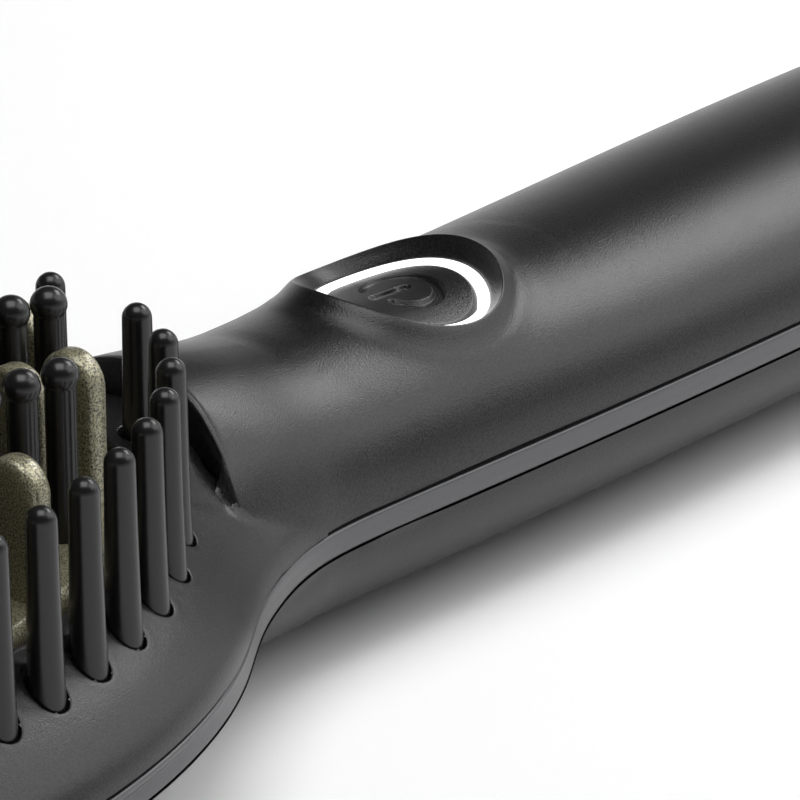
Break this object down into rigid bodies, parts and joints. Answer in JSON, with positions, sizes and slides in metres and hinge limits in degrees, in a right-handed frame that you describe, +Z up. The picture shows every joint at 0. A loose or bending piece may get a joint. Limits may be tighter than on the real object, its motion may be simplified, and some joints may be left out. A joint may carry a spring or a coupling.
{
  "type": "heated styling brush",
  "caption": "Paddle styling brush with a heated finned plate, ball-tipped pins, guard pins, a round power button and a swivel cord inlet.",
  "frame": {"origin": "middle of the bounding box at floor level, with the brush lying on its back", "axes": "+X from the head to the handle's tail, +Y across the brush, +Z up, the way the bristles point"},
  "size_m": [0.29, 0.076, 0.0498],
  "materials": {
    "soft_touch": "matt soft-touch paint",
    "trim_grey": "satin grey metallic",
    "ceramic_coat": "speckled gold-grey ceramic coating",
    "pin_nylon": "satin heat-resistant nylon",
    "light_guide": "frosted clear",
    "heater_ceramic": "sintered white",
    "insulation": "amber film",
    "steel": "zinc-plated",
    "brass": "plain",
    "board_green": "solder mask",
    "component_black": "moulded",
    "lamp_white": "clear",
    "lead_red": "silicone sleeve",
    "lead_white": "silicone sleeve"
  },
  "bodies": {
    "handle": {"top_shell": "soft_touch", "bottom_shell": "soft_touch", "side_trim": "trim_grey", "tail_cap": "soft_touch", "heater_plate": "ceramic_coat", "bristle_carrier": "pin_nylon", "guard_carrier": "pin_nylon", "heating_elements": "heater_ceramic", "insulating_sheets": "insulation", "temperature_sensor": "component_black", "thermal_cutout": "steel", "plate_screws": "steel", "carrier_screws": "steel", "housing_screws": "steel", "board_screws": "steel", "button_bezel": "soft_touch", "light_ring": "light_guide", "tact_switch": "component_black", "indicator_leds": "lamp_white", "circuit_board": "board_green", "smoothing_capacitor": "component_black", "power_switch_chip": "component_black", "heater_leads": "lead_red", "supply_leads": "lead_white", "contact_holder": "component_black", "swivel_contacts": "brass", "bush_retainer": "steel"},
    "button_body": {"power_button": "soft_touch", "switch_plunger": "component_black"},
    "cord_swivel": {"cord_bush": "soft_touch", "slip_rings": "brass"}
  },
  "joints": [
    {"name": "button_press", "type": "slide", "parent": "handle", "child": "button_body", "axis": [0, 0, -1], "range_m": [0, 0.0005], "stiffness_N_per_m": 2000, "springref_m": -0.0005},
    {"name": "cord_swivel_turn", "type": "hinge", "parent": "handle", "child": "cord_swivel", "pos_m": [0.131, 0, 0.0144], "axis": [1, 0, 0], "continuous": true}
  ]
}
